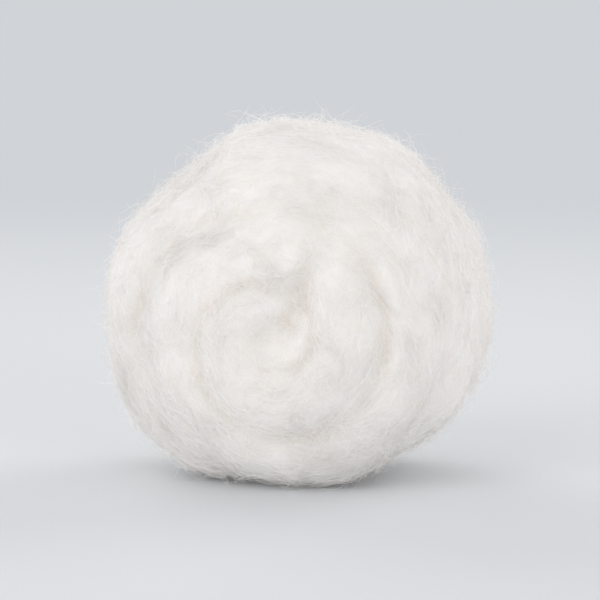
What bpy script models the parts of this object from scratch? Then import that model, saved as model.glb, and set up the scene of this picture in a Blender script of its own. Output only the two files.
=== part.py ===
"""A jumbo cotton ball, in metres, +Z up.

A strip of carded cotton sliver is rolled up into a short, soft, round-edged barrel. The roll's axis is Y, and the
end that shows the swirl of its turns faces -Y. The ball lies on its side, on the small flat that packing has pressed
into it. The origin is on that flat's plane, under the middle of the ball's box.
"""

import math

import bmesh
import bpy
from mathutils import Matrix, Vector, noise

MM = 0.001

# The roll
ROLL_DIAMETER = 37.8 * MM  # across the roll, before its neighbours pressed it
ROLL_LENGTH = 31.5 * MM  # along its axis, over both ends
SECTION_FULLNESS = 2.5  # 2 would be an egg, and a large number a sharp-edged cylinder

# The turns of the strip, as they show on both ends
SLIVER_THICKNESS = 6.6 * MM  # one turn of the strip, which is the swirl's pitch
CREASE_DEPTH = 0.65 * MM  # of the crease between two turns
CREASE_HALF_WIDTH = 1.55 * MM
CREASE_RIM_FADE = 3.6 * MM  # the crease dies away over this length before the roll's edge
CREASE_UNEVENNESS = 0.35  # how much its depth varies, as a share
EYE_X = 0.4 * MM  # the swirl's eye lies a little off the roll's axis
EYE_Z = -1.8 * MM
EYE_DEPTH = 1.2 * MM
EYE_RADIUS = 2.6 * MM

# The fold where the strip's start is tucked in, which runs outwards from the swirl's eye
TUCK_ANGLE = math.radians(54.0)
TUCK_LENGTH = 14.0 * MM
TUCK_DEPTH = 0.6 * MM
TUCK_HALF_WIDTH = 1.5 * MM
TUCK_BEND = 26.0 * MM  # radius of its slight curve

# The strip's tail, which laps over the roll's side
TAIL_ANGLE = math.radians(106.0)  # of the tail's edge about the roll's axis, from +X towards +Z
TAIL_THICKNESS = 1.0 * MM
TAIL_EDGE_WIDTH = 3.4 * MM  # the tail's edge rounds off over this length
TAIL_WANDER = math.radians(5.0)  # how far the torn edge strays from a straight line

# Puckers where the fibres turn in over the roll's edge
PUCKER_COUNT = 9
PUCKER_DEPTH = 0.5 * MM
PUCKER_STRAY = 1.6  # how far a pucker strays from its even place, in puckers
PUCKER_CHANGE = Vector((1.4, 3.0, 1.4))  # how quickly that changes, across the roll and along it

# Soft unevenness of the wadding
LUMP_HEIGHT = 0.55 * MM
LUMP_SPACING = 11.0 * MM
LUMP_START = Vector((7.3, 1.9, 4.1))  # where the lumps' noise is read, which picks their pattern
WRAP_HEIGHT = 0.28 * MM  # of the low bands that run round the roll with its fibres
WRAP_SPACING = 4.2 * MM

# Flats pressed in by neighbouring balls: angle about the roll's axis, lean towards its back end, and depth
PRESSED_FLATS = (
    (math.radians(180.0), math.radians(6.0), 0.8 * MM),
    (math.radians(129.0), math.radians(-6.0), 1.6 * MM),
    (math.radians(84.0), math.radians(2.0), 1.9 * MM),
    (math.radians(37.0), math.radians(8.0), 1.4 * MM),
    (math.radians(64.0), math.radians(46.0), 0.6 * MM),
    (math.radians(2.0), math.radians(-4.0), 1.3 * MM),
    (math.radians(-57.0), math.radians(5.0), 2.3 * MM),
)
REST_PRESS = 2.2 * MM  # the same, straight down
FLAT_SOFTNESS = 1.0 * MM  # how gently a flat runs out into the round
FOOT_TRIM = 0.45 * MM  # of the lowest fibres, which the surface underneath holds level

# The mesh
AROUND = 68  # faces round the roll
RINGS = 58  # faces from one end's middle to the other's
SNAP = 0.06 * MM  # a point this near the resting plane lies on it
SMOOTHING_PASSES = 2  # wadding holds no sharp edge

COTTON_WHITE = (0.831, 0.815, 0.783, 1.0)  # bleached cotton, linear
COTTON_ROUGHNESS = 0.95

DOWN = -math.pi / 2
ROLL_RADIUS = ROLL_DIAMETER / 2


def smooth_step(share):
    """0 below 0, 1 above 1, and an even S between."""
    share = min(max(share, 0.0), 1.0)
    return share * share * (3.0 - 2.0 * share)


def angle_about_axis(x, z):
    """Angle about the roll's axis, from +X towards +Z."""
    return math.atan2(z, x)


def outward(about_axis, lean):
    """The direction at that angle about the roll's axis, leaning that much towards +Y."""
    flat = math.cos(lean)
    return Vector((flat * math.cos(about_axis), math.sin(lean), flat * math.sin(about_axis)))


def barrel_shares(direction):
    """How much the barrel's side and its ends each hold back that direction."""
    side = (math.hypot(direction.x, direction.z) / ROLL_RADIUS) ** SECTION_FULLNESS
    end = (abs(direction.y) / (ROLL_LENGTH / 2)) ** SECTION_FULLNESS
    return side, end


def barrel_reach(direction):
    """How far the plain barrel reaches from its centre."""
    return sum(barrel_shares(direction)) ** (-1.0 / SECTION_FULLNESS)


def edge_share(direction):
    """1 on the barrel's rounded edge, falling to 0 at the middles of its side and its ends."""
    side, end = barrel_shares(direction)
    return 4.0 * side * end / (side + end) ** 2


def on_the_end(direction):
    """1 on either end of the barrel, falling to 0 on its side."""
    side, end = barrel_shares(direction)
    return smooth_step(2.0 * end / (side + end))


def on_the_side(direction):
    """1 on the barrel's side, falling to 0 on its ends."""
    side, end = barrel_shares(direction)
    return smooth_step(2.0 * side / (side + end))


def pressed_reach(direction):
    """The barrel's reach, less what its neighbours and its own rest have pressed in."""
    flats = (*PRESSED_FLATS, (DOWN, 0.0, REST_PRESS))
    reach = barrel_reach(direction)
    nearness = 1.0
    for about_axis, lean, depth in flats:
        normal = outward(about_axis, lean)
        facing = direction.dot(normal)
        if facing > 0.0:
            to_flat = (barrel_reach(normal) - depth) / facing
            nearness += math.exp((reach - to_flat) / FLAT_SOFTNESS)
    return reach - FLAT_SOFTNESS * math.log(nearness)


def crease_depth(direction, reach):
    """Depth of the spiral crease between the turns, and of the swirl's eye, on either end."""
    x = reach * direction.x - EYE_X
    z = reach * direction.z - EYE_Z
    from_eye = math.hypot(x, z)
    turn = (angle_about_axis(x, z) - TAIL_ANGLE) / math.tau
    turns_in = (ROLL_RADIUS - from_eye) / SLIVER_THICKNESS
    from_crease = abs(turns_in + turn - round(turns_in + turn)) * SLIVER_THICKNESS
    crease = CREASE_DEPTH * math.exp(-((from_crease / CREASE_HALF_WIDTH) ** 2))
    opened = smooth_step(from_eye / (SLIVER_THICKNESS / 2))
    held = smooth_step((ROLL_RADIUS - from_eye) / CREASE_RIM_FADE)
    uneven = 1.0 + CREASE_UNEVENNESS * noise.noise(direction * (ROLL_DIAMETER / LUMP_SPACING))
    eye = EYE_DEPTH * math.exp(-((from_eye / EYE_RADIUS) ** 2))
    return on_the_end(direction) * (crease * opened * held * uneven + eye)


def tuck_depth(direction, reach):
    """Depth of the fold where the strip's start is tucked in, on either end."""
    x = reach * direction.x - EYE_X
    z = reach * direction.z - EYE_Z
    along = x * math.cos(TUCK_ANGLE) + z * math.sin(TUCK_ANGLE)
    aside = z * math.cos(TUCK_ANGLE) - x * math.sin(TUCK_ANGLE) - along**2 / (2.0 * TUCK_BEND)
    begun = smooth_step(along / EYE_RADIUS)
    held = smooth_step((TUCK_LENGTH - along) / EYE_RADIUS)
    fold = math.exp(-((aside / TUCK_HALF_WIDTH) ** 2))
    return on_the_end(direction) * TUCK_DEPTH * fold * begun * held


def tail_drop(direction, reach):
    """How far the side lies below the roll's full radius: most just past the tail's edge, and less all round the turn."""
    along = reach * direction.y / LUMP_SPACING
    edge = TAIL_ANGLE + TAIL_WANDER * noise.noise(Vector((along, 0.0, 0.0)))
    turn = (angle_about_axis(direction.x, direction.z) - edge) / math.tau % 1.0
    edge_turn = TAIL_EDGE_WIDTH / (math.pi * ROLL_DIAMETER)
    return on_the_side(direction) * TAIL_THICKNESS * (1.0 - turn) * smooth_step(turn / edge_turn)


def pucker_depth(direction):
    """Depth of the soft radial folds over the roll's edge."""
    about_axis = angle_about_axis(direction.x, direction.z)
    stray = PUCKER_STRAY * noise.noise(direction * PUCKER_CHANGE)
    fold = max(0.0, math.cos(PUCKER_COUNT * about_axis + stray * math.tau))
    return PUCKER_DEPTH * edge_share(direction) ** 2 * fold**2


def unevenness(direction):
    """Height of the wadding's lumps, and of the low bands that its fibres make round the roll."""
    lumps = LUMP_HEIGHT * noise.noise(direction * (ROLL_DIAMETER / LUMP_SPACING) + LUMP_START)
    band_place = Vector((direction.x, direction.y * ROLL_LENGTH / WRAP_SPACING, direction.z))
    return lumps + WRAP_HEIGHT * noise.noise(band_place)


def surface_point(direction):
    """The ball's surface in that direction from its centre."""
    reach = pressed_reach(direction)
    folds = crease_depth(direction, reach) + tuck_depth(direction, reach) + pucker_depth(direction)
    return direction * (reach - folds - tail_drop(direction, reach) + unevenness(direction))


def shape_ball():
    """The whole surface, as a globe of faces with its poles on the roll's axis."""
    ball = bmesh.new()
    poles_on_y = Matrix.Rotation(math.pi / 2, 4, "X")
    bmesh.ops.create_uvsphere(ball, u_segments=AROUND, v_segments=RINGS, radius=1.0, matrix=poles_on_y)
    for vert in ball.verts:
        vert.co = surface_point(vert.co.normalized())
    for _ in range(SMOOTHING_PASSES):
        bmesh.ops.smooth_vert(
            ball, verts=ball.verts, factor=0.5, use_axis_x=True, use_axis_y=True, use_axis_z=True
        )
    return ball


def set_on_its_flat(ball):
    """Cuts the lowest fibres off level, closes the cut with one flat face and puts it on z = 0."""
    lowest = min(vert.co.z for vert in ball.verts)
    plane = Vector((0.0, 0.0, lowest + FOOT_TRIM))
    everything = [*ball.verts, *ball.edges, *ball.faces]
    cut = bmesh.ops.bisect_plane(
        ball, geom=everything, dist=SNAP, plane_co=plane, plane_no=Vector((0.0, 0.0, 1.0)), clear_inner=True
    )
    rim = [part for part in cut["geom_cut"] if isinstance(part, bmesh.types.BMEdge)]
    for vert in {vert for edge in rim for vert in edge.verts}:
        vert.co.z = plane.z
    bmesh.ops.holes_fill(ball, edges=rim, sides=0)
    bmesh.ops.recalc_face_normals(ball, faces=ball.faces)
    middle = [(min(v.co[i] for v in ball.verts) + max(v.co[i] for v in ball.verts)) / 2 for i in (0, 1)]
    bmesh.ops.translate(ball, verts=ball.verts, vec=-Vector((*middle, plane.z)))


def bleached_cotton():
    """Bleached cotton: a warm white with no gloss at all."""
    material = bpy.data.materials.new("bleached_cotton")
    material.use_nodes = True
    surface = material.node_tree.nodes["Principled BSDF"]
    surface.inputs["Base Color"].default_value = COTTON_WHITE
    surface.inputs["Roughness"].default_value = COTTON_ROUGHNESS
    surface.inputs["Metallic"].default_value = 0.0
    return material


def main():
    for leftover in list(bpy.data.objects):
        bpy.data.objects.remove(leftover)
    ball = shape_ball()
    set_on_its_flat(ball)
    mesh = bpy.data.meshes.new("cotton_ball")
    ball.to_mesh(mesh)
    ball.free()
    mesh.materials.append(bleached_cotton())
    mesh.shade_smooth()
    bpy.context.scene.collection.objects.link(bpy.data.objects.new("cotton_ball", mesh))


main()
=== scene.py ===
"""The looks of a jumbo cotton ball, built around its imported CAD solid.

The solid gives the ball its size, its place and its main form: a strip of carded cotton rolled up into a
short soft barrel, with its swirl on the end that faces -Y. This script lays wadding over it, draws the turns
of the strip more finely, and covers it with loose cotton fibres, laid as carding and rolling leave them.
"""

import logging
import math
from dataclasses import dataclass, fields
from enum import Enum
from functools import partial

import bmesh
import bpy
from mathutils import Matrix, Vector


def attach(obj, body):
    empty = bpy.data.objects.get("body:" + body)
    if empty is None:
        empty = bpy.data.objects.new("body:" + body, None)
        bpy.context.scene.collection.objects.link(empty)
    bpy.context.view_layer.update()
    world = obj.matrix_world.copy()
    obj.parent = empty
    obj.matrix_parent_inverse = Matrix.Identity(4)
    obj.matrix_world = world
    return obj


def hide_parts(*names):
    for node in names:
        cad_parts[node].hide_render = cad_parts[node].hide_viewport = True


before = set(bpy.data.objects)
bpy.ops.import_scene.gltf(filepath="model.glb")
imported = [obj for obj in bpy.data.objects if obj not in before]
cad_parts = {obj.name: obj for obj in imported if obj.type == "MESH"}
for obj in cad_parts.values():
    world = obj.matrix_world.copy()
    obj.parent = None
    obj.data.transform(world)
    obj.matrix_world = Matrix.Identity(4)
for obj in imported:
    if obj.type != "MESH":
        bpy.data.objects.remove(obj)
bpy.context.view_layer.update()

MM = 0.001
CAD_NODE = "cotton_ball"
BODY = "root"

MATH = "ShaderNodeMath"
VECTOR_MATH = "ShaderNodeVectorMath"
MAP_RANGE = "ShaderNodeMapRange"
SEPARATE = "ShaderNodeSeparateXYZ"
COMBINE = "ShaderNodeCombineXYZ"
NOISE = "ShaderNodeTexNoise"
MIX = "ShaderNodeMix"
ATTRIBUTE = "ShaderNodeAttribute"
SURFACE = "ShaderNodeBsdfPrincipled"
RANDOM = "FunctionNodeRandomValue"
POSITION = "GeometryNodeInputPosition"
SET_POSITION = "GeometryNodeSetPosition"
STORE = "GeometryNodeStoreNamedAttribute"
REALIZE = "GeometryNodeRealizeInstances"
SET_MATERIAL = "GeometryNodeSetMaterial"
ALONG = "GeometryNodeSplineParameter"

SOFT = {"interpolation_type": "SMOOTHSTEP"}
SIGNED = {"normalize": False}
COLOURS = {"data_type": "RGBA"}
PER_POINT = {"data_type": "FLOAT", "domain": "POINT"}
ACROSS_THE_ROLL = (1.0, 0.0, 1.0)
NOISE_LOW, NOISE_HIGH = 0.3, 0.7  # a noise from 0 to 1 mostly stays between these

Place = tuple[float, float, float]
Colour = tuple[float, float, float, float]

log = logging.getLogger("cotton ball")


def linear(hex_colour: str) -> Colour:
    """Turns an sRGB colour into Blender's linear one.

    Args:
        hex_colour: the colour as #RRGGBB.

    Returns:
        Red, green, blue and an alpha of 1.
    """
    shares = [int(hex_colour[i : i + 2], 16) / 255 for i in (1, 3, 5)]
    red, green, blue = (s / 12.92 if s <= 0.04045 else ((s + 0.055) / 1.055) ** 2.4 for s in shares)
    return red, green, blue, 1.0


def add_node(
    tree: bpy.types.NodeTree,
    kind: str,
    settings: dict[str, object] | None = None,
    *feeds: object,
    **named: object,
) -> bpy.types.Node:
    """Adds one node with its settings and links.

    Args:
        tree: the node tree that it goes into.
        kind: Blender's name for this type of node.
        settings: values for the node's own properties.
        *feeds: what goes into its inputs in their order: a socket, a node for its first output, or a value.
        **named: the same for inputs by name, with an underscore for each space.

    Returns:
        The new node.
    """
    node = tree.nodes.new(kind)
    for name, value in (settings or {}).items():
        setattr(node, name, value)
    inputs = [socket for socket in node.inputs if socket.enabled]
    by_name = {socket.name: socket for socket in reversed(inputs)}
    wanted = [*zip(inputs, feeds), *((by_name[name.replace("_", " ")], feed) for name, feed in named.items())]
    for socket, feed in wanted:
        if isinstance(feed, bpy.types.Node):
            feed = next(output for output in feed.outputs if output.enabled)
        if isinstance(feed, bpy.types.NodeSocket):
            tree.links.new(feed, socket)
        else:
            socket.default_value = feed
    return node


def new_tree(name: str, inputs: dict[str, str]) -> bpy.types.NodeTree:
    """Starts a Geometry Nodes tree.

    Args:
        name: the tree's name.
        inputs: the type of each named input after the geometry.

    Returns:
        The tree, with one geometry output.
    """
    tree = bpy.data.node_groups.new(name, "GeometryNodeTree")
    tree.interface.new_socket("Geometry", in_out="INPUT", socket_type="NodeSocketGeometry")
    for title, kind in inputs.items():
        tree.interface.new_socket(title, in_out="INPUT", socket_type=kind)
    tree.interface.new_socket("Geometry", in_out="OUTPUT", socket_type="NodeSocketGeometry")
    return tree


def apply_tree(
    source: bpy.types.Object, tree: bpy.types.NodeTree, values: dict[str, object]
) -> bpy.types.Mesh:
    """Runs a Geometry Nodes tree on an object and takes the result as a plain mesh.

    Args:
        source: the object that feeds the tree; it keeps its own mesh.
        tree: the tree.
        values: what goes into the tree's inputs, by name.

    Returns:
        The resulting mesh, with no modifier left behind.
    """
    modifier = source.modifiers.new(tree.name, "NODES")
    modifier.node_group = tree
    for item in tree.interface.items_tree:
        if item.in_out == "INPUT" and item.name in values:
            modifier[item.identifier] = values[item.name]
    graph = bpy.context.evaluated_depsgraph_get()
    mesh = bpy.data.meshes.new_from_object(source.evaluated_get(graph), depsgraph=graph)
    source.modifiers.remove(modifier)
    return mesh


def place_object(name: str, data: bpy.types.ID) -> bpy.types.Object:
    """Puts a mesh, a lamp or a camera into the scene.

    Args:
        name: the object's name.
        data: what the object shows.

    Returns:
        The object, at the origin.
    """
    item = bpy.data.objects.new(name, data)
    bpy.context.scene.collection.objects.link(item)
    return item


def new_material(name: str) -> bpy.types.Material:
    """Starts a material with an empty node tree.

    Args:
        name: the material's name.

    Returns:
        The material.
    """
    material = bpy.data.materials.new(name)
    material.use_nodes = True
    material.node_tree.nodes.clear()
    return material


@dataclass(frozen=True)
class Roll:
    """The roll that the strip makes, where the CAD solid has it, in metres and radians."""

    radius: float = 18.9 * MM
    length: float = 31.5 * MM
    fullness: float = 2.5
    axis: Place = (-0.035 * MM, -0.03 * MM, 15.857 * MM)
    turn: float = 6.6 * MM
    tail_angle: float = math.radians(106.0)
    rim_fade: float = 3.6 * MM
    eye: Place = (0.365 * MM, 0.0, 14.057 * MM)
    eye_radius: float = 2.6 * MM
    tuck_angle: float = math.radians(54.0)
    tuck_length: float = 14.0 * MM
    tuck_bend: float = 26.0 * MM
    wander: float = 1.6  # how far the fibres stray sideways, in streaks
    wander_size: float = 6.0 * MM


ROLL = Roll()


class Turns:
    """The turns of the rolled strip, as nodes of one tree that read one position."""

    def __init__(self, tree: bpy.types.NodeTree, place: bpy.types.NodeSocket) -> None:
        """Works out where the position lies in the roll.

        Args:
            tree: the node tree.
            place: the position.
        """
        self.add = add = partial(add_node, tree)
        self.place = place
        from_axis = add(VECTOR_MATH, {"operation": "SUBTRACT"}, place, ROLL.axis)
        self.across = add(VECTOR_MATH, {"operation": "MULTIPLY"}, from_axis, ACROSS_THE_ROLL)
        self.far_out = add(VECTOR_MATH, {"operation": "LENGTH"}, self.across)
        self.depth = add(SEPARATE, None, from_axis).outputs["Y"]

    def grain(self, spacing: float, around: float, detail: float, signed: bool = False) -> bpy.types.Node:
        """A noise in long streaks that run with the turns of the strip.

        Args:
            spacing: how far apart the streaks lie, in metres.
            around: how many streaks follow each other once round the roll.
            detail: the noise's detail.
            signed: whether the noise swings about 0, and not between 0 and 1.

        Returns:
            The noise node.
        """
        add = self.add
        outward = add(VECTOR_MATH, {"operation": "NORMALIZE"}, self.across)
        turned = add(VECTOR_MATH, {"operation": "SCALE"}, outward, Scale=around / math.tau)
        drift = add(NOISE, SIGNED, self.place, Scale=1 / ROLL.wander_size, Detail=1.0)
        stray = add(MATH, {"operation": "MULTIPLY"}, drift, ROLL.wander)
        in_depth = add(MATH, {"operation": "MULTIPLY_ADD"}, self.depth, 1 / spacing, stray)
        streaks = add(COMBINE, None, 0.0, in_depth, 0.0)
        vector = add(VECTOR_MATH, {"operation": "ADD"}, turned, streaks)
        outwards = add(MATH, {"operation": "MULTIPLY_ADD"}, self.far_out, 1 / spacing, stray)
        settings = {"noise_dimensions": "4D", "normalize": not signed}
        return add(NOISE, settings, Vector=vector, W=outwards, Scale=1.0, Detail=detail)


class Swirl(Turns):
    """The folds that the strip shows on the roll's ends, each as a share from 0 away from it to 1 in it."""

    WELL_ON_THE_END = 0.5  # how much a place counts as the end, not the side, where a fold is at its deepest

    def __init__(self, tree: bpy.types.NodeTree, place: bpy.types.NodeSocket) -> None:
        """Works out where the position lies from the swirl's eye, and whether it is on an end.

        Args:
            tree: the node tree.
            place: the position.
        """
        super().__init__(tree, place)
        add = self.add
        from_eye = add(VECTOR_MATH, {"operation": "SUBTRACT"}, place, ROLL.eye)
        self.past_eye = add(VECTOR_MATH, {"operation": "MULTIPLY"}, from_eye, ACROSS_THE_ROLL)
        self.eye_distance = add(VECTOR_MATH, {"operation": "LENGTH"}, self.past_eye)
        from_middle = add(MATH, {"operation": "ABSOLUTE"}, self.depth)
        side_share = add(MATH, {"operation": "DIVIDE"}, self.far_out, ROLL.radius)
        side = add(MATH, {"operation": "POWER"}, side_share, ROLL.fullness)
        end_share = add(MATH, {"operation": "DIVIDE"}, from_middle, ROLL.length / 2)
        end = add(MATH, {"operation": "POWER"}, end_share, ROLL.fullness)
        both = add(MATH, {"operation": "ADD"}, side, end)
        share = add(MATH, {"operation": "DIVIDE"}, end, both)
        self.on_end = add(MAP_RANGE, SOFT, share, 0.0, self.WELL_ON_THE_END)

    def on_the_ends(
        self, distance: bpy.types.Node, half_width: float, *limits: bpy.types.Node
    ) -> bpy.types.Node:
        """A soft fold, held to the roll's ends.

        Args:
            distance: how far the position is from the fold's middle line, in metres.
            half_width: how far the fold spreads either way, in metres.
            *limits: more shares that hold it back.

        Returns:
            The node that gives the share.
        """
        add = self.add
        spread = add(MATH, {"operation": "DIVIDE"}, distance, half_width)
        squared = add(MATH, {"operation": "MULTIPLY"}, spread, spread)
        fallen = add(MATH, {"operation": "MULTIPLY"}, squared, -1.0)
        share = add(MATH, {"operation": "EXPONENT"}, fallen)
        for limit in (self.on_end, *limits):
            share = add(MATH, {"operation": "MULTIPLY"}, share, limit)
        return share

    def crease(self, half_width: float) -> bpy.types.Node:
        """The spiral crease between two turns of the strip.

        Args:
            half_width: how far the crease spreads either way, in metres.

        Returns:
            The node that gives the share.
        """
        add = self.add
        parts = add(SEPARATE, None, self.past_eye).outputs
        angle = add(MATH, {"operation": "ARCTAN2"}, parts["Z"], parts["X"])
        turned = add(MATH, {"operation": "MULTIPLY_ADD"}, angle, 1 / math.tau, -ROLL.tail_angle / math.tau)
        inward = add(MATH, {"operation": "SUBTRACT"}, ROLL.radius, self.eye_distance)
        phase = add(MATH, {"operation": "MULTIPLY_ADD"}, inward, 1 / ROLL.turn, turned)
        nearest = add(MATH, {"operation": "ROUND"}, phase)
        off = add(MATH, {"operation": "SUBTRACT"}, phase, nearest)
        distance = add(MATH, {"operation": "MULTIPLY"}, off, ROLL.turn)
        opened = add(MAP_RANGE, SOFT, self.eye_distance, 0.0, ROLL.turn / 2)
        held = add(MAP_RANGE, SOFT, inward, 0.0, ROLL.rim_fade)
        return self.on_the_ends(distance, half_width, opened, held)

    def tuck(self, half_width: float) -> bpy.types.Node:
        """The slightly curved fold where the strip's start is tucked in.

        Args:
            half_width: how far the fold spreads either way, in metres.

        Returns:
            The node that gives the share.
        """
        add = self.add
        outward = (math.cos(ROLL.tuck_angle), 0.0, math.sin(ROLL.tuck_angle))
        sideways = (-outward[2], 0.0, outward[0])
        along = add(VECTOR_MATH, {"operation": "DOT_PRODUCT"}, self.past_eye, outward)
        aside = add(VECTOR_MATH, {"operation": "DOT_PRODUCT"}, self.past_eye, sideways)
        squared = add(MATH, {"operation": "MULTIPLY"}, along, along)
        distance = add(MATH, {"operation": "MULTIPLY_ADD"}, squared, -0.5 / ROLL.tuck_bend, aside)
        begun = add(MAP_RANGE, SOFT, along, 0.0, ROLL.eye_radius)
        left = add(MATH, {"operation": "SUBTRACT"}, ROLL.tuck_length, along)
        held = add(MAP_RANGE, SOFT, left, 0.0, ROLL.eye_radius)
        return self.on_the_ends(distance, half_width, begun, held)

    def eye(self) -> bpy.types.Node:
        """The dimple at the swirl's eye."""
        return self.on_the_ends(self.eye_distance, ROLL.eye_radius)


@dataclass(frozen=True)
class CardedCotton:
    """Bleached carded cotton, combed into a sliver and rolled: dead matt, a warm white, and soft to light.

    Light sinks in between the fibres and comes out nearby, so its shade is pale and has no hard edge.
    """

    name: str = "bleached_carded_cotton"
    fibre_white: str = "#F6F3F0"
    wadding_white: str = "#EFEBE7"
    # painted shade: the folds are darkened to a warm cream, where the rolled cotton takes less light
    fold_cream: str = "#E8DFD5"
    fold_share: float = 0.5
    streak_spacing: float = 0.3 * MM  # real fibres lie 0.02 mm apart, drawn coarser to show
    streaks_around: float = 26.0
    mottle_size: float = 2.6 * MM
    mottle_share: float = 0.55
    mattest: float = 0.98
    smoothest: float = 0.88
    relief: float = 0.05 * MM
    relief_strength: float = 0.35
    light_depth: float = 1.5 * MM
    light_spread: Place = (1.0, 0.92, 0.82)
    gloss: float = 0.2
    bloom: float = 0.25
    bloom_width: float = 0.6

    def build(self) -> bpy.types.Material:
        """Makes the material, with fibre streaks that follow the turns and a warm painted shade darkening the
        folds.

        Returns:
            The material.
        """
        material = new_material(self.name)
        add = partial(add_node, material.node_tree)
        place = add("ShaderNodeTexCoord").outputs["Object"]
        turns = Turns(material.node_tree, place)
        streaks = turns.grain(self.streak_spacing, self.streaks_around, detail=3.0)
        mottle = add(NOISE, None, place, Scale=1 / self.mottle_size, Detail=2.0)
        drawn = add(MIX, {"data_type": "FLOAT"}, self.mottle_share, streaks, mottle)
        paler = add(MAP_RANGE, None, drawn, NOISE_LOW, NOISE_HIGH)
        white = add(MIX, COLOURS, paler, A=linear(self.wadding_white), B=linear(self.fibre_white))
        # Painted shade: the folds' share from the wadding's tree darkens the white towards a warm cream.
        fold = add(ATTRIBUTE, {"attribute_name": "fold"}).outputs["Fac"]
        painted_shade = add(MATH, {"operation": "MULTIPLY"}, fold, self.fold_share)
        surface = add(
            SURFACE,
            {"subsurface_method": "RANDOM_WALK"},
            Base_Color=add(MIX, COLOURS, painted_shade, A=white, B=linear(self.fold_cream)),
            Roughness=add(MAP_RANGE, None, drawn, NOISE_LOW, NOISE_HIGH, self.mattest, self.smoothest),
            Normal=add("ShaderNodeBump", None, self.relief_strength, self.relief, Height=streaks),
            Subsurface_Weight=1.0,
            Subsurface_Radius=self.light_spread,
            Subsurface_Scale=self.light_depth,
            Specular_IOR_Level=self.gloss,
            Sheen_Weight=self.bloom,
            Sheen_Roughness=self.bloom_width,
        )
        add("ShaderNodeOutputMaterial", None, surface)
        return material


@dataclass(frozen=True)
class LooseFibre:
    """Single bleached cotton fibres that carding left loose.

    Each is a flat twisted ribbon, so it is paler than the wadding, and glints a little along its length.
    """

    name: str = "loose_cotton_fibre"
    bright: str = "#FCFAF8"
    plain: str = "#F4F1EE"
    mattest: float = 0.92
    smoothest: float = 0.74
    twist: float = 0.15 * MM  # a real fibre turns over about every 0.1 to 0.2 mm
    twist_relief: float = 0.01 * MM
    twist_strength: float = 0.3
    gloss: float = 0.2
    bloom: float = 0.15

    def build(self) -> bpy.types.Material:
        """Makes the material, with each wisp its own shade of white and its own gloss.

        Returns:
            The material.
        """
        material = new_material(self.name)
        add = partial(add_node, material.node_tree)
        place = add("ShaderNodeTexCoord").outputs["Object"]
        shade = add(ATTRIBUTE, {"attribute_name": "shade"}).outputs["Fac"]
        twists = add(NOISE, None, place, Scale=1 / self.twist, Detail=0.0)
        surface = add(
            SURFACE,
            None,
            Base_Color=add(MIX, COLOURS, shade, A=linear(self.plain), B=linear(self.bright)),
            Roughness=add(MAP_RANGE, None, shade, 0.0, 1.0, self.mattest, self.smoothest),
            Normal=add("ShaderNodeBump", None, self.twist_strength, self.twist_relief, Height=twists),
            Specular_IOR_Level=self.gloss,
            Sheen_Weight=self.bloom,
        )
        add("ShaderNodeOutputMaterial", None, surface)
        return material


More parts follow.
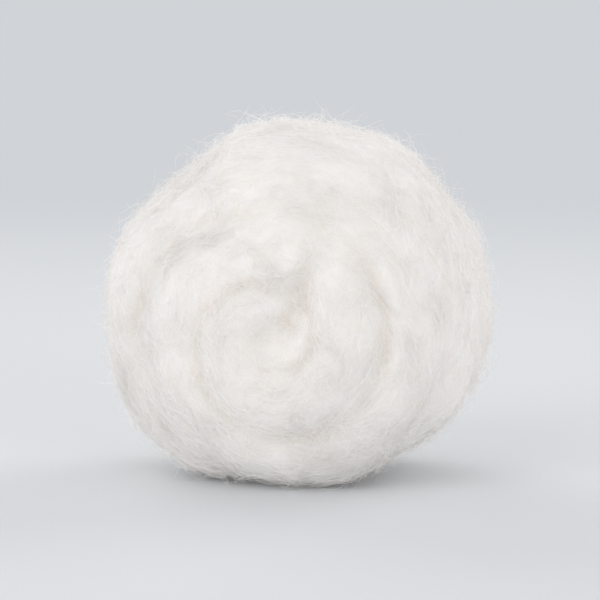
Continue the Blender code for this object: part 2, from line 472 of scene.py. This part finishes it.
@dataclass(frozen=True)
class Wadding:
    """The ball's body of carded cotton, as a soft closed form with streaks and clumps of fibre in it."""

    name: str = "carded_wadding"
    weld: float = 0.001 * MM
    voxel: float = 0.25 * MM
    smoothing: int = 8
    smoothing_share: float = 0.5
    streak_height: float = 0.045 * MM
    streak_spacing: float = 0.75 * MM
    streaks_around: float = 14.0
    clump_height: float = 0.1 * MM
    clump_size: float = 3.0 * MM
    crease_depth: float = 0.25 * MM
    crease_half_width: float = 0.75 * MM
    tuck_depth: float = 0.8 * MM
    tuck_half_width: float = 1.5 * MM
    eye_depth: float = 0.4 * MM
    # how much of the folds' painted shade the swirl's eye gets
    eye_tint: float = 0.35
    patch_size: float = 5.0 * MM
    shallowest: float = 0.2  # what is left of a fold's depth where it nearly closes
    foot_height: float = 1.2 * MM  # the relief fades out over this height above the floor
    fill: float = 0.5

    def form(self) -> bpy.types.Object:
        """Makes the CAD solid's form as one even, smooth mesh.

        Returns:
            The object that holds it.
        """
        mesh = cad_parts[CAD_NODE].data.copy()
        merged = bmesh.new()
        merged.from_mesh(mesh)
        bmesh.ops.remove_doubles(merged, verts=merged.verts, dist=self.weld)
        merged.to_mesh(mesh)
        merged.free()
        mesh.materials.clear()
        rough = place_object("solid", mesh)
        remesh = rough.modifiers.new("even", "REMESH")
        remesh.mode = "VOXEL"
        remesh.voxel_size = self.voxel
        smooth = rough.modifiers.new("soft", "SMOOTH")
        smooth.factor = self.smoothing_share
        smooth.iterations = self.smoothing
        graph = bpy.context.evaluated_depsgraph_get()
        even = bpy.data.meshes.new_from_object(rough.evaluated_get(graph), depsgraph=graph)
        bpy.data.objects.remove(rough)
        for vertex in even.vertices:
            vertex.co.z = max(vertex.co.z, 0.0)
        even.shade_smooth()
        return place_object("form", even)

    def tree(self, sizes: tuple[str, ...]) -> bpy.types.NodeTree:
        """Makes the tree that works the fibres' relief and the fine folds into the form, and marks the folds
        for the material's painted shade.

        Args:
            sizes: the names of its inputs for sizes.

        Returns:
            The tree.
        """
        inputs = {size: "NodeSocketFloat" for size in sizes} | {"material": "NodeSocketMaterial"}
        tree = new_tree("fluff", inputs)
        add = partial(add_node, tree)
        given = add("NodeGroupInput").outputs
        place = add(POSITION).outputs["Position"]
        swirl = Swirl(tree, place)
        streaks = swirl.grain(self.streak_spacing, self.streaks_around, detail=2.0, signed=True)
        clump_scale = add(MATH, {"operation": "DIVIDE"}, 1.0, given["clump_size"])
        clumps = add(NOISE, SIGNED, place, Scale=clump_scale, Detail=2.0)
        raised = add(MATH, {"operation": "MULTIPLY"}, streaks, given["streak_height"])
        height = add(MATH, {"operation": "MULTIPLY_ADD"}, clumps, given["clump_height"], raised)
        patches = add(NOISE, None, place, Scale=1 / self.patch_size, Detail=1.0)
        broken = add(MAP_RANGE, SOFT, patches, NOISE_LOW, NOISE_HIGH, self.shallowest, 1.0)
        crease = add(MATH, {"operation": "MULTIPLY"}, swirl.crease(self.crease_half_width), broken)
        tuck = add(MATH, {"operation": "MULTIPLY"}, swirl.tuck(self.tuck_half_width), broken)
        eye = swirl.eye()
        creased = add(MATH, {"operation": "MULTIPLY"}, crease, given["crease_depth"])
        tucked = add(MATH, {"operation": "MULTIPLY_ADD"}, tuck, given["tuck_depth"], creased)
        dip = add(MATH, {"operation": "MULTIPLY_ADD"}, eye, given["eye_depth"], tucked)
        relief = add(MATH, {"operation": "SUBTRACT"}, height, dip)
        level = add(SEPARATE, None, place).outputs["Z"]
        free = add(MAP_RANGE, SOFT, level, 0.0, given["foot_height"])
        freed = add(MATH, {"operation": "MULTIPLY"}, relief, free)
        offset = add(VECTOR_MATH, {"operation": "SCALE"}, add("GeometryNodeInputNormal"), Scale=freed)
        # Painted shade: the folds' share is stored for the material, which darkens the wadding there to a
        # warm cream; the eye gets part of it.
        eye_tint = add(MATH, {"operation": "MULTIPLY"}, eye, self.eye_tint)
        painted_shade = add(MATH, {"operation": "MAXIMUM"}, tuck, eye_tint)
        fold = add(MATH, {"operation": "MAXIMUM"}, crease, painted_shade)
        shade_stored = add(STORE, PER_POINT, given["Geometry"], Name="fold", Value=fold)
        moved = add(SET_POSITION, None, shade_stored, Offset=offset)
        after = add(SEPARATE, None, add(POSITION)).outputs
        above = add(MATH, {"operation": "MAXIMUM"}, after["Z"], 0.0)
        stood = add(SET_POSITION, None, moved, Position=add(COMBINE, None, after["X"], after["Y"], above))
        dressed = add(SET_MATERIAL, None, add(REALIZE, None, stood), Material=given["material"])
        add("NodeGroupOutput", None, dressed)
        return tree

    def build(self, material: bpy.types.Material) -> bpy.types.Object:
        """Makes the body from the form.

        Args:
            material: the wadding's finish.

        Returns:
            The body, which stands for the CAD solid.
        """
        values = {
            "streak_height": self.streak_height,
            "clump_height": self.clump_height,
            "clump_size": self.clump_size,
            "crease_depth": self.crease_depth,
            "tuck_depth": self.tuck_depth,
            "eye_depth": self.eye_depth,
            "foot_height": self.foot_height,
        }
        form = self.form()
        mesh = apply_tree(form, self.tree(tuple(values)), values | {"material": material})
        bpy.data.objects.remove(form)
        mesh.shade_smooth()
        body = place_object(self.name, mesh)
        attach(body, BODY)
        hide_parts(CAD_NODE)
        return body


class Lay(Enum):
    """Which way a layer's fibres run: the largest angle that they stray from the turns of the strip."""

    WITH_THE_TURNS = math.radians(45.0)
    ANY_WAY = math.radians(180.0)


@dataclass(frozen=True)
class FibreLayer:
    """One layer of cotton fibres. Real ones are about 0.018 mm thick, drawn thicker so that they show."""

    name: str
    seed: int
    lay: Lay
    per_cm2: float
    strands: int = 1
    points: int = 8
    shortest: float = 5.0 * MM
    longest: float = 10.0 * MM
    width: float = 0.0
    thickness: float = 0.032 * MM
    sink: float = 0.15 * MM
    loft: float = 0.25 * MM
    arch: float = 0.0
    rise: float = 0.0
    wave: float = 0.5 * MM
    wave_size: float = 5.0 * MM
    curl: float = 0.3 * MM
    curl_size: float = 2.5 * MM
    stray: float = 0.0

    @classmethod
    def inputs(cls) -> dict[str, str]:
        """The type of each input that the tree needs for a layer, by name."""
        kinds = {int: "NodeSocketInt", float: "NodeSocketFloat", Lay: "NodeSocketFloat"}
        return {field.name: kinds[field.type] for field in fields(cls) if field.type in kinds}

    def values(self) -> dict[str, object]:
        """The value of each of those inputs, by name."""
        return {name: getattr(self, name) for name in self.inputs()} | {"lay": self.lay.value}


class FibreTree:
    """The Geometry Nodes tree that lays one layer of fibres over the ball."""

    SEED_STEP = 17.0  # keeps one layer's seeds apart from the next one's
    FOOT_CLEARANCE = 0.3 * MM  # no fibre starts lower than this
    PER_CM2 = 1e4  # in a square metre
    SHORTEST_STRAND = 0.55  # of its wisp's length
    AHEAD = 0.25  # how far a strand starts before or after the others, of the length
    GATHER = 0.7  # how much narrower a wisp is at its ends
    NOISE_SPAN = 50.0  # each fibre reads the noise at its own place within this
    LEAST_RISE = 0.3  # of the layer's rise
    LATE = 1.4  # how late along its length a fibre rises
    NOISE_MIDDLE = (0.5, 0.5, 0.5)
    NOISE_REACH = 0.25  # how far the noise mostly swings either way
    HUMP = 0.25  # the highest value of a share times what it leaves of 1
    TAPER = 0.65  # how much thinner a fibre is at its tips
    TAPER_POWER = 3.0  # keeps the taper near the tips
    SIDES = 3

    def __init__(self) -> None:
        """Starts the tree with its named inputs."""
        self.tree = new_tree("cotton_fibres", FibreLayer.inputs() | {"material": "NodeSocketMaterial"})
        self.add = partial(add_node, self.tree)
        self.given = self.add("NodeGroupInput").outputs
        self.seeds = 0

    def seed(self) -> bpy.types.Node:
        """A seed for one random value, unlike any other in the tree.

        Returns:
            The node that gives the seed.
        """
        self.seeds += 1
        return self.add(
            MATH, {"operation": "MULTIPLY_ADD"}, self.given["seed"], self.SEED_STEP, float(self.seeds)
        )

    def wisp(self) -> bpy.types.Node:
        """Makes one wisp of the layer, a unit long and wide: fibres side by side that gather at both ends.

        Returns:
            The node that gives the wisp.
        """
        add = self.add
        strand = add("GeometryNodeInputIndex")
        sideways = add(RANDOM, None, -1.0, 1.0, strand, Seed=self.seed())
        ahead = add(RANDOM, None, -self.AHEAD, self.AHEAD, strand, Seed=self.seed())
        start = add(COMBINE, None, ahead, sideways, 0.0)
        starts = add("GeometryNodePoints", None, Count=self.given["strands"], Position=start)
        line = add("GeometryNodeCurvePrimitiveLine", None, (-0.5, 0.0, 0.0), (0.5, 0.0, 0.0))
        cut = add("GeometryNodeResampleCurve", None, line, Count=self.given["points"])
        long = add(RANDOM, None, self.SHORTEST_STRAND, 1.0, strand, Seed=self.seed())
        scale = add(COMBINE, None, long, 1.0, 1.0)
        strands = add("GeometryNodeInstanceOnPoints", None, starts, Instance=cut, Scale=scale)
        place = add(SEPARATE, None, add(POSITION)).outputs
        from_middle = add(MATH, {"operation": "MULTIPLY_ADD"}, add(ALONG).outputs["Factor"], 2.0, -1.0)
        squared = add(MATH, {"operation": "MULTIPLY"}, from_middle, from_middle)
        gathered = add(MATH, {"operation": "MULTIPLY_ADD"}, squared, -self.GATHER, 1.0)
        narrowed = add(MATH, {"operation": "MULTIPLY"}, place["Y"], gathered)
        moved = add(COMBINE, None, place["X"], narrowed, 0.0)
        return add(SET_POSITION, None, add(REALIZE, None, strands), Position=moved)

    def laid(self) -> bpy.types.Node:
        """Sets the wisps out over the ball, flat to it and turned with the strip.

        Returns:
            The node that gives them, as curves.
        """
        add = self.add
        given = self.given
        place = add(POSITION)
        level = add(SEPARATE, None, place).outputs["Z"]
        off_the_foot = add(MATH, {"operation": "GREATER_THAN"}, level, self.FOOT_CLEARANCE)
        density = add(MATH, {"operation": "MULTIPLY"}, given["per_cm2"], self.PER_CM2)
        starts = add(
            "GeometryNodeDistributePointsOnFaces",
            {"distribute_method": "RANDOM"},
            given["Geometry"],
            Density=add(MATH, {"operation": "MULTIPLY"}, density, off_the_foot),
            Seed=given["seed"],
        )
        up = starts.outputs["Normal"]
        from_eye = add(VECTOR_MATH, {"operation": "SUBTRACT"}, place, ROLL.eye)
        with_turns = add(VECTOR_MATH, {"operation": "CROSS_PRODUCT"}, (0.0, 1.0, 0.0), from_eye)
        least = add(MATH, {"operation": "MULTIPLY"}, given["lay"], -1.0)
        angle = add(RANDOM, None, least, given["lay"], Seed=self.seed())
        way = add("ShaderNodeVectorRotate", {"rotation_type": "AXIS_ANGLE"}, with_turns, Axis=up, Angle=angle)
        axes = {"primary_axis": "Z", "secondary_axis": "X"}
        turned = add("FunctionNodeAxesToRotation", axes, up, way)
        length = add(RANDOM, None, given["shortest"], given["longest"], Seed=self.seed())
        size = add(COMBINE, None, length, given["width"], 1.0)
        shade = add(RANDOM, None, 0.0, 1.0, Seed=self.seed())
        shaded = add(STORE, PER_POINT, starts, Name="shade", Value=shade)
        wisp = self.wisp()
        wisps = add("GeometryNodeInstanceOnPoints", None, shaded, Instance=wisp, Rotation=turned, Scale=size)
        return add(REALIZE, None, wisps)

    def swing(self, size: bpy.types.NodeSocket, amount: object, start: object = None) -> bpy.types.Node:
        """An offset in a random direction that changes smoothly from place to place.

        Args:
            size: how far it is from one swing to the next.
            amount: how long the offset is.
            start: where in the noise each fibre reads, or None to read at its own place.

        Returns:
            The node that gives the offset.
        """
        add = self.add
        per_size = add(MATH, {"operation": "DIVIDE"}, 1.0, size)
        scaled = add(VECTOR_MATH, {"operation": "SCALE"}, add(POSITION), Scale=per_size)
        read_at = scaled if start is None else add(VECTOR_MATH, {"operation": "ADD"}, scaled, start)
        noise = add(NOISE, None, read_at, Scale=1.0, Detail=1.0).outputs["Color"]
        centred = add(VECTOR_MATH, {"operation": "SUBTRACT"}, noise, self.NOISE_MIDDLE)
        full = add(MATH, {"operation": "MULTIPLY"}, amount, 1 / self.NOISE_REACH)
        return add(VECTOR_MATH, {"operation": "SCALE"}, centred, Scale=full)

    def height(self, along: bpy.types.NodeSocket, fibre: bpy.types.NodeSocket) -> bpy.types.Node:
        """How high each point of a fibre is over the ball: a base, an arch and a rise towards one end.

        Args:
            along: the share of the fibre's length up to the point.
            fibre: the fibre's number.

        Returns:
            The node that gives the height.
        """
        add = self.add
        given = self.given
        sunk = add(MATH, {"operation": "MULTIPLY"}, given["sink"], -1.0)
        base = add(RANDOM, None, sunk, given["loft"], fibre, Seed=self.seed())
        rest = add(MATH, {"operation": "SUBTRACT"}, 1.0, along)
        hump = add(MATH, {"operation": "MULTIPLY"}, along, rest)
        arch = add(RANDOM, None, 0.0, given["arch"], fibre, Seed=self.seed())
        full = add(MATH, {"operation": "MULTIPLY"}, arch, 1 / self.HUMP)
        over = add(MATH, {"operation": "MULTIPLY_ADD"}, hump, full, base)
        least = add(MATH, {"operation": "MULTIPLY"}, given["rise"], self.LEAST_RISE)
        rise = add(RANDOM, None, least, given["rise"], fibre, Seed=self.seed())
        late = add(MATH, {"operation": "POWER"}, along, self.LATE)
        return add(MATH, {"operation": "MULTIPLY_ADD"}, late, rise, over)

    def tubes(self, fibres: bpy.types.Node, along: bpy.types.NodeSocket) -> bpy.types.Node:
        """Gives the fibres their thickness, as closed tubes that taper at both ends.

        Their sides are flat, because smooth normals on so few sides turn light away and look grey.

        Args:
            fibres: the node that gives them as curves.
            along: the share of the fibre's length up to a point.

        Returns:
            The node that gives them as meshes.
        """
        add = self.add
        from_middle = add(MATH, {"operation": "MULTIPLY_ADD"}, along, 2.0, -1.0)
        towards_tip = add(MATH, {"operation": "ABSOLUTE"}, from_middle)
        ends = add(MATH, {"operation": "POWER"}, towards_tip, self.TAPER_POWER)
        taper = add(MATH, {"operation": "MULTIPLY_ADD"}, ends, -self.TAPER, 1.0)
        half = add(MATH, {"operation": "MULTIPLY"}, self.given["thickness"], 0.5)
        thin = add(MATH, {"operation": "MULTIPLY"}, half, taper)
        section = add("GeometryNodeCurvePrimitiveCircle", {"mode": "RADIUS"}, self.SIDES, Radius=1.0)
        closed = add("GeometryNodeCurveToMesh", None, fibres, section, Scale=thin, Fill_Caps=True)
        return add("GeometryNodeSetShadeSmooth", None, closed, Shade_Smooth=False)

    def build(self) -> bpy.types.NodeTree:
        """Finishes the tree: the fibres wave, curl and arch over the ball, or stand off it, above the floor.

        Returns:
            The tree.
        """
        add = self.add
        given = self.given
        guide = given["Geometry"]
        fibre = add("GeometryNodeCurveOfPoint").outputs["Curve Index"]
        along = add(ALONG).outputs["Factor"]
        low, high = (-self.NOISE_SPAN,) * 3, (self.NOISE_SPAN,) * 3
        own = add(RANDOM, {"data_type": "FLOAT_VECTOR"}, low, high, fibre, Seed=self.seed())
        waved = add(SET_POSITION, None, self.laid(), Offset=self.swing(given["wave_size"], given["wave"]))
        curl = self.swing(given["curl_size"], given["curl"], own)
        curled = add(SET_POSITION, None, waved, Offset=curl)
        nearest = add("GeometryNodeProximity", {"target_element": "FACES"}, guide)
        vectors = {"data_type": "FLOAT_VECTOR"}
        normal = add("GeometryNodeInputNormal")
        outward = add("GeometryNodeSampleNearestSurface", vectors, guide, Value=normal)
        lifted = add(VECTOR_MATH, {"operation": "SCALE"}, outward, Scale=self.height(along, fibre))
        on_ball = add(VECTOR_MATH, {"operation": "ADD"}, nearest, lifted)
        wrapped = add(SET_POSITION, None, curled, Position=on_ball)
        loose = add(MATH, {"operation": "MULTIPLY"}, along, given["stray"])
        strayed = add(SET_POSITION, None, wrapped, Offset=self.swing(given["curl_size"], loose, own))
        after = add(SEPARATE, None, add(POSITION)).outputs
        above = add(MATH, {"operation": "MAXIMUM"}, after["Z"], given["thickness"])
        stood = add(SET_POSITION, None, strayed, Position=add(COMBINE, None, after["X"], after["Y"], above))
        whole = add(REALIZE, None, self.tubes(stood, along))
        add("NodeGroupOutput", None, add(SET_MATERIAL, None, whole, Material=given["material"]))
        return self.tree


@dataclass(frozen=True)
class FibreCoat:
    """The loose fibres over the wadding, from those that lie flat to the few that stand off it."""

    layers: tuple[FibreLayer, ...] = (
        FibreLayer("laid_fibres", 11, Lay.WITH_THE_TURNS, per_cm2=114.0),
        FibreLayer(
            "carded_wisps", 23, Lay.WITH_THE_TURNS, per_cm2=4.5, strands=14, longest=11.0 * MM,
            width=1.3 * MM, loft=0.3 * MM, arch=0.2 * MM, curl=0.25 * MM,
        ),
        FibreLayer(
            "crossing_fibres", 37, Lay.ANY_WAY, per_cm2=120.0, points=6, shortest=3.0 * MM,
            longest=7.0 * MM, sink=0.1 * MM, loft=0.3 * MM, arch=0.25 * MM, curl=0.5 * MM,
        ),
        FibreLayer(
            "looped_fibres", 41, Lay.ANY_WAY, per_cm2=75.0, shortest=2.5 * MM, longest=5.0 * MM,
            sink=0.2 * MM, loft=0.1 * MM, arch=1.1 * MM, curl=0.5 * MM, stray=0.25 * MM,
        ),
        FibreLayer(
            "short_fuzz", 47, Lay.ANY_WAY, per_cm2=190.0, points=4, shortest=0.8 * MM,
            longest=2.2 * MM, thickness=0.026 * MM, sink=0.1 * MM, loft=0.1 * MM, rise=1.0 * MM,
            curl=0.2 * MM, stray=0.2 * MM,
        ),
        FibreLayer(
            "stray_fibres", 53, Lay.ANY_WAY, per_cm2=28.0, points=10, shortest=3.0 * MM,
            longest=6.5 * MM, thickness=0.028 * MM, sink=0.2 * MM, loft=0.1 * MM, rise=2.4 * MM,
            curl=0.6 * MM, stray=0.7 * MM,
        ),
    )

    def build(self, body: bpy.types.Object, material: bpy.types.Material) -> list[bpy.types.Object]:
        """Makes one piece for each layer.

        Args:
            body: the wadding, whose surface the fibres follow into the folds.
            material: the fibres' finish.

        Returns:
            The pieces.
        """
        tree = FibreTree().build()
        guide = place_object("guide", body.data)
        pieces = []
        for layer in self.layers:
            mesh = apply_tree(guide, tree, layer.values() | {"material": material})
            piece = place_object(layer.name, mesh)
            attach(piece, BODY)
            pieces.append(piece)
        bpy.data.objects.remove(guide)
        return pieces


@dataclass(frozen=True)
class Lamp:
    """One soft square lamp that shines on the ball, with its place and side in metres."""

    name: str
    place: Place
    side: float
    watts: float

    def build(self, aim: Place) -> None:
        """Hangs the lamp where the camera doesn't see it.

        Args:
            aim: the point that it faces.
        """
        data = bpy.data.lights.new(self.name, "AREA")
        data.size = self.side
        data.energy = self.watts
        lamp = place_object(self.name, data)
        lamp.location = self.place
        lamp.rotation_euler = (Vector(aim) - Vector(self.place)).to_track_quat("-Z", "Y").to_euler()
        lamp.visible_camera = False


@dataclass(frozen=True)
class Studio:
    """A plain pale floor, soft lamps, and a camera at the photograph's angle."""

    azimuth: float = math.radians(12.0)
    elevation: float = math.radians(7.0)
    lens: float = 200.0
    nearest: float = 0.01
    distance: float = 0.315
    aim: Place = (0.0, 0.0, 16.4 * MM)
    backdrop: str = "#D0D3D7"
    floor_colour: str = "#E0E2E4"
    floor_roughness: float = 0.9
    floor_size: float = 8.0
    floor_near: float = 0.05
    floor_far: float = 0.3
    room_light: str = "#F6F6F8"
    room_strength: float = 0.7
    lamps: tuple[Lamp, ...] = (
        Lamp("key", (-0.25, -0.5, 0.4), side=0.5, watts=0.7),
        Lamp("low_left", (-0.38, -0.44, 0.1), side=0.2, watts=0.5),
        Lamp("low_right", (0.38, -0.44, 0.1), side=0.2, watts=0.7),
        Lamp("rear_left", (-0.38, 0.44, 0.3), side=0.4, watts=1.0),
        Lamp("rear_right", (0.38, 0.44, 0.3), side=0.4, watts=1.0),
    )

    def seen(self, tree: bpy.types.NodeTree) -> bpy.types.Node:
        """1 for what the camera sees directly or in a mirror or glass, and 0 for light.

        Args:
            tree: the node tree.

        Returns:
            The node that gives it.
        """
        add = partial(add_node, tree)
        path = add("ShaderNodeLightPath").outputs
        direct = add(MATH, {"operation": "MAXIMUM"}, path["Is Camera Ray"], path["Is Glossy Ray"])
        return add(MATH, {"operation": "MAXIMUM"}, direct, path["Is Transmission Ray"])

    def floor(self) -> None:
        """Lays a pale matt board that runs out into the backdrop's colour."""
        # Painted board is dull and even, so that nothing but the ball's soft shadow shows on it.
        material = new_material("pale_matt_board")
        add = partial(add_node, material.node_tree)
        place = add("ShaderNodeTexCoord").outputs["Object"]
        away = add(VECTOR_MATH, {"operation": "LENGTH"}, place)
        out = add(MAP_RANGE, SOFT, away, self.floor_near, self.floor_far)
        share = add(MATH, {"operation": "MULTIPLY"}, out, self.seen(material.node_tree))
        board = add(SURFACE, None, Base_Color=linear(self.floor_colour), Roughness=self.floor_roughness)
        glow = add("ShaderNodeEmission", None, linear(self.backdrop), 1.0)
        add("ShaderNodeOutputMaterial", None, add("ShaderNodeMixShader", None, share, board, glow))
        half = self.floor_size / 2
        corners = [(-half, -half, 0.0), (half, -half, 0.0), (half, half, 0.0), (-half, half, 0.0)]
        mesh = bpy.data.meshes.new("floor")
        mesh.from_pydata(corners, [], [(0, 1, 2, 3)])
        mesh.materials.append(material)
        place_object("floor", mesh)

    def room(self) -> None:
        """Lights the ball evenly from all round, with the backdrop's colour for the camera."""
        world = bpy.data.worlds.new("pale_room")
        bpy.context.scene.world = world
        world.use_nodes = True
        world.node_tree.nodes.clear()
        add = partial(add_node, world.node_tree)
        light = add("ShaderNodeBackground", None, linear(self.room_light), self.room_strength)
        shown = add("ShaderNodeBackground", None, linear(self.backdrop), 1.0)
        both = add("ShaderNodeMixShader", None, self.seen(world.node_tree), light, shown)
        add("ShaderNodeOutputWorld", None, both)

    def camera(self) -> None:
        """Sets the camera up, on a long lens as the photograph was taken."""
        data = bpy.data.cameras.new("camera")
        data.lens = self.lens
        data.clip_start = self.nearest
        camera = place_object("camera", data)
        flat = math.cos(self.elevation)
        ahead, aside = -math.cos(self.azimuth) * flat, math.sin(self.azimuth) * flat
        back = Vector((aside, ahead, math.sin(self.elevation)))
        camera.location = Vector(self.aim) + back * self.distance
        camera.rotation_euler = (-back).to_track_quat("-Z", "Y").to_euler()
        bpy.context.scene.camera = camera

    def build(self) -> None:
        """Sets the whole studio up."""
        self.floor()
        self.room()
        for lamp in self.lamps:
            lamp.build(self.aim)
        self.camera()
        bpy.context.scene.view_settings.view_transform = "Standard"


def report(piece: bpy.types.Object) -> None:
    """Logs a piece's name and how many triangles it has."""
    log.info("%s has %d triangles", piece.name, sum(len(face.vertices) - 2 for face in piece.data.polygons))


def main() -> None:
    """Builds the ball and its studio, and reports each piece."""
    logging.basicConfig(level=logging.INFO, format="%(name)s: %(message)s")
    Studio().build()
    body = Wadding().build(CardedCotton().build())
    for piece in (body, *FibreCoat().build(body, LooseFibre().build())):
        report(piece)


if __name__ == "__main__":
    main()
